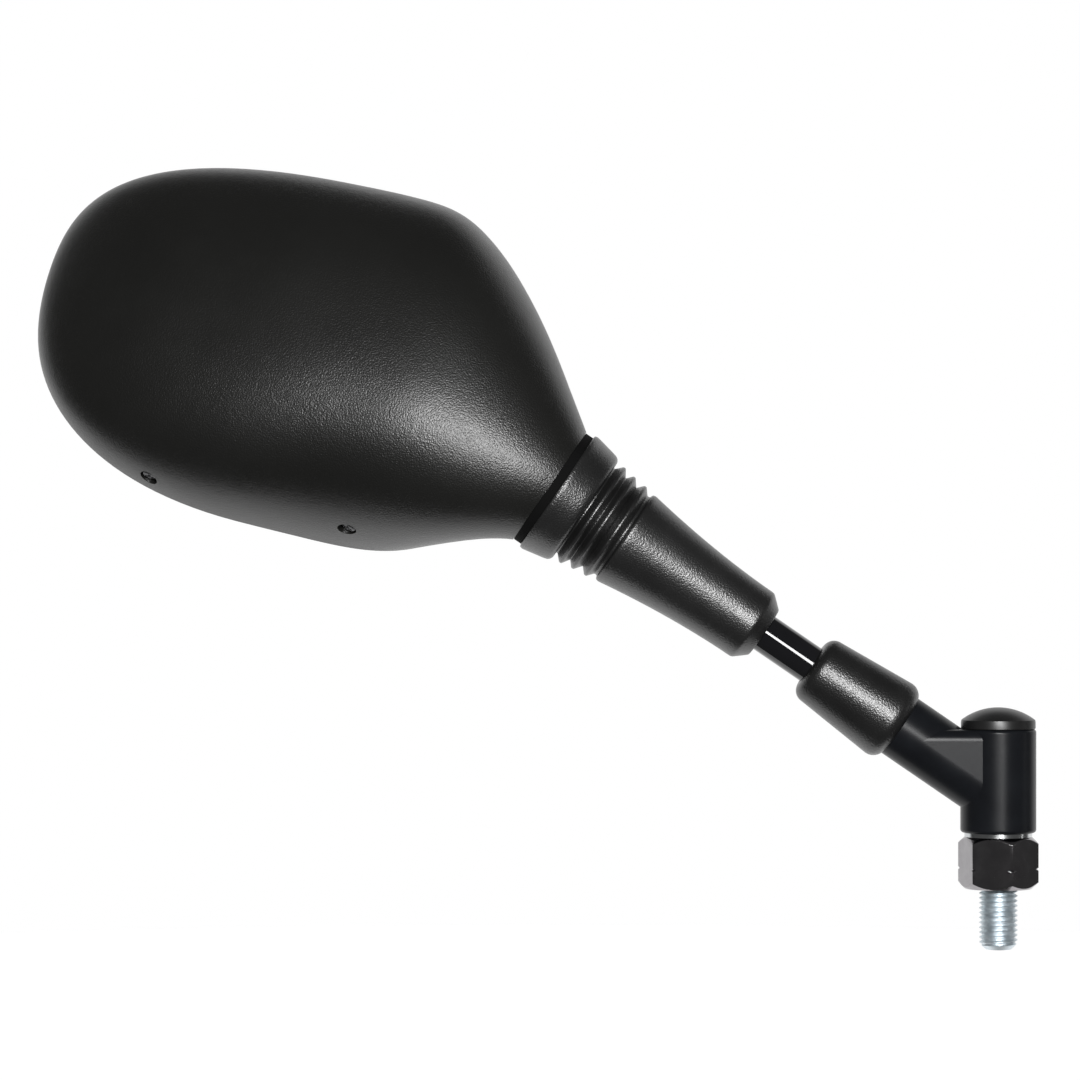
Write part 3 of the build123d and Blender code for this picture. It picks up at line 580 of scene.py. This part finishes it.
def turned_rubber(name, corners, longest):
    """A closed ring of rubber about the stem, from its rounded outline in millimetres."""
    outline = rounded(corners)
    fine = []
    for i, here in enumerate(outline):
        there = outline[(i + 1) % len(outline)]
        steps = max(1, math.ceil((there - here).length / longest))
        for step in range(steps):
            fine.append(here.lerp(there, step / steps))
    rings = []
    for radius, run in fine:
        ring = []
        for i in range(gaiter_sides):
            angle = 2 * math.pi * i / gaiter_sides
            out = stem_up * math.cos(angle) + stem_side * math.sin(angle)
            ring.append(stem_foot + stem_way * (run / 1000) + out * (radius / 1000))
        rings.append(ring)
    return skin(name, rings, closed=True)


def on_stem(run):
    return stem_foot + stem_way * (run / 1000)


# Outlines below: radius, run along the stem and rounding of each corner, in millimetres.
flare_start = 76.5
flare_end = 115.4
flare_radius = 9.85
flare_growth = 3.35
flare_curve = 1.87
sleeve = [(5.05, 72.9, 0), (6.9, 72.9, 0.3), (flare_radius, 76.3, 0.6)]
for run in range(80, 115, 3):
    climb = (run - flare_start) / (flare_end - flare_start)
    sleeve.append((flare_radius + flare_growth * climb ** flare_curve, run, 0.8))
sleeve += [(13.2, flare_end, 0.5), (13.0, 116.2, 0.4), (12.1, 116.5, 0.3), (12.0, 117.2, 0.35)]
sleeve += [(13.8, 118.7, 0.25), (13.8, 119.3, 0.25), (12.15, 120.8, 0), (10.9, 120.8, 0)]
sleeve += [(10.9, 116.3, 0), (5.05, 92.9, 0)]
ribs = [(10.9, 120.8, 0), (12.15, 120.8, 0), (14.2, 122.4, 0.25), (14.2, 123.0, 0.25)]
ribs += [(12.6, 124.4, 0.3), (14.75, 125.8, 0.25), (14.75, 126.4, 0.25)]
ribs += [(13.1, 128.0, 0), (10.9, 128.0, 0)]
collar = [(10.9, 128.0, 0), (13.1, 128.0, 0), (13.1, 128.4, 0.15), (14.7, 128.4, 0.4)]
collar += [(15.7, 129.0, 0.6), (16.1, 130.2, 0.6), (17.3, 136.2, 0.45), (17.1, 136.95, 0.25)]
collar += [(16.6, 137.1, 0.15), (14.35, 137.1, 0), (14.35, 130.55, 0), (10.9, 130.55, 0)]
lip = [(14.35, 137.1, 0), (16.4, 137.1, 0), (16.4, 139.3, 0.1)]
lip += [(16.22, 139.3, 0), (16.22, 138.2, 0), (14.35, 138.1, 0)]
gaiter_rubber, gaiter_shader = uneven(
    "gaiter_rubber", dark=(0.007, 0.007, 0.007), light=(0.010, 0.010, 0.010),
    smoothest=0.31, roughest=0.37, patches=80,
)
gaiter_shader.inputs["Specular IOR Level"].default_value = 0.9
etch(gaiter_rubber, gaiter_shader, pebbles=2400, depth=0.00005)
gaiter_sleeve = turned_rubber("gaiter_sleeve", sleeve, longest=0.9)
gaiter_ribs = turned_rubber("gaiter_ribs", ribs, longest=0.4)
gaiter_collar = turned_rubber("gaiter_collar", collar, longest=0.9)
for rubber_piece in (gaiter_sleeve, gaiter_ribs, gaiter_collar):
    rubber_piece.data.materials.append(gaiter_rubber)
# A dull, nearly black lip ring where the collar meets the neck. Its colour is painted shade that stands
# in for the shaded groove at that joint.
gaiter_shade_lip = turned_rubber("gaiter_shade_lip", lip, longest=0.9)
groove_shade_rubber, groove_shade_shader = uneven(
    "groove_shade_rubber", dark=(0.0025, 0.0025, 0.0025), light=(0.004, 0.004, 0.004),
    smoothest=0.8, roughest=0.9, patches=80,
)
groove_shade_shader.inputs["Specular IOR Level"].default_value = 0.1
gaiter_shade_lip.data.materials.append(groove_shade_rubber)
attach(gaiter_shade_lip, "head")
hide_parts("gaiter")
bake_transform(gaiter_sleeve)
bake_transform(gaiter_ribs)
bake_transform(gaiter_collar)


# Socket screws and tray screws
# Small blackened steel screws with low round heads and cross slots. Two hold the socket's ears in the
# neck, and two go through the lower rim into the glass tray.
def cross_reach(angle, half_width, arm):
    """Distance from the axis to the edge of a cross slot."""
    inside = angle % (math.pi / 2)
    inside = min(inside, math.pi / 2 - inside)
    return min(arm / math.cos(inside), half_width / max(math.sin(inside), 1e-6))


def screw_rings(top, way, across, head_r, head_h, shank_r, length):
    """Rings of one screw whose head's crown is at top, and which points along way."""
    second = way.cross(across)
    slot_arm = head_r * 0.58
    slot_half = head_r * 0.17
    shape = [
        (length, lambda a: shank_r * 0.3),
        (length - shank_r, lambda a: shank_r),
        (head_h, lambda a: shank_r),
        (head_h, lambda a: head_r * 0.95),
        (head_h * 0.9, lambda a: head_r),
        (head_h * 0.5, lambda a: head_r * 0.97),
        (head_h * 0.2, lambda a: head_r * 0.85),
        (0.0, lambda a: head_r * 0.66),
        (0.0, lambda a: cross_reach(a, slot_half, slot_arm)),
        (head_h * 0.7, lambda a: cross_reach(a, slot_half * 0.8, slot_arm * 0.8)),
        (head_h * 0.8, lambda a: slot_half * 0.3),
    ]
    rings = []
    for depth, radius_at in shape:
        ring = []
        for i in range(round_sides):
            angle = 2 * math.pi * i / round_sides
            radius = radius_at(angle)
            out = across * math.cos(angle) + second * math.sin(angle)
            ring.append(top + way * depth + out * radius)
        rings.append(ring)
    return rings


def join_pieces(name, first, second):
    """One object out of two meshes, for a pair of like screws that share a CAD node."""
    shape = bmesh.new()
    shape.from_mesh(first.data)
    shape.from_mesh(second.data)
    shape.to_mesh(first.data)
    shape.free()
    bpy.data.objects.remove(second)
    first.name = name
    return first


screw_black, screw_shader = uneven(
    "screw_black", dark=(0.035, 0.035, 0.037), light=(0.06, 0.06, 0.063),
    smoothest=0.22, roughest=0.34, patches=500,
)
screw_shader.inputs["Metallic"].default_value = 0.6
ear_run = 153.0
ear_offset = 0.0143
ear_screws = []
for side in (-1, 1):
    ear_top = on_stem(ear_run) + stem_up * (side * ear_offset)
    ear_rings = screw_rings(
        ear_top, -stem_way, stem_up, head_r=0.00275, head_h=0.002, shank_r=0.0015, length=0.011
    )
    ear_screws.append(skin("ear_screw", ear_rings))
socket_screws = join_pieces("socket_screws_slotted", *ear_screws)
rim_places = (
    ((-0.167102, 0.000512, 0.091979), (-0.45801, -0.33161, -0.82478)),
    ((-0.218484, 0.006745, 0.105263), (-0.33024, -0.34004, -0.88052)),
)
rim_across = Vector((0.08274, -0.93969, 0.33186))
rim_setback = 0.0005
rim_screws = []
for rim_point, rim_out in rim_places:
    rim_way = -Vector(rim_out)
    rim_top = Vector(rim_point) + rim_way * rim_setback
    rim_rings = screw_rings(
        rim_top, rim_way, rim_across, head_r=0.0022, head_h=0.001, shank_r=0.0011, length=0.0085
    )
    rim_screws.append(skin("rim_screw", rim_rings))
tray_screws = join_pieces("tray_screws_slotted", *rim_screws)
for screw_pair, screw_node in ((socket_screws, "socket_screws"), (tray_screws, "tray_screws")):
    screw_pair.data.materials.append(screw_black)
    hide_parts(screw_node)
    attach(screw_pair, "head")


# Glass tray
# A black moulded frame in the housing's mouth. Its lip holds the glass. The two rim screws go into its
# bosses.
tray_plastic, tray_shader = uneven(
    "tray_plastic", dark=(0.010, 0.010, 0.0095), light=(0.013, 0.013, 0.0125),
    smoothest=0.42, roughest=0.5, patches=40,
)
etch(tray_plastic, tray_shader, pebbles=2200, depth=0.00006)
dress("glass_tray", tray_plastic)


# Foam pad
# Grey closed-cell foam with adhesive on both faces, cut to the glass's outline.
pad_foam, pad_shader = uneven(
    "pad_foam", dark=(0.16, 0.16, 0.17), light=(0.24, 0.24, 0.25),
    smoothest=0.85, roughest=0.95, patches=300,
)
etch(pad_foam, pad_shader, pebbles=900, depth=0.00030)
dress("foam_pad", pad_foam)


# Mirror glass
# Convex glass, silvered. Its face is clean and bright, with only a trace of wiping marks.
silvered, silver_shader = uneven(
    "silvered_glass", dark=(0.86, 0.88, 0.89), light=(0.88, 0.90, 0.91),
    smoothest=0.01, roughest=0.035, patches=18,
)
silver_shader.inputs["Metallic"].default_value = 1.0
dress("mirror_glass", silvered)
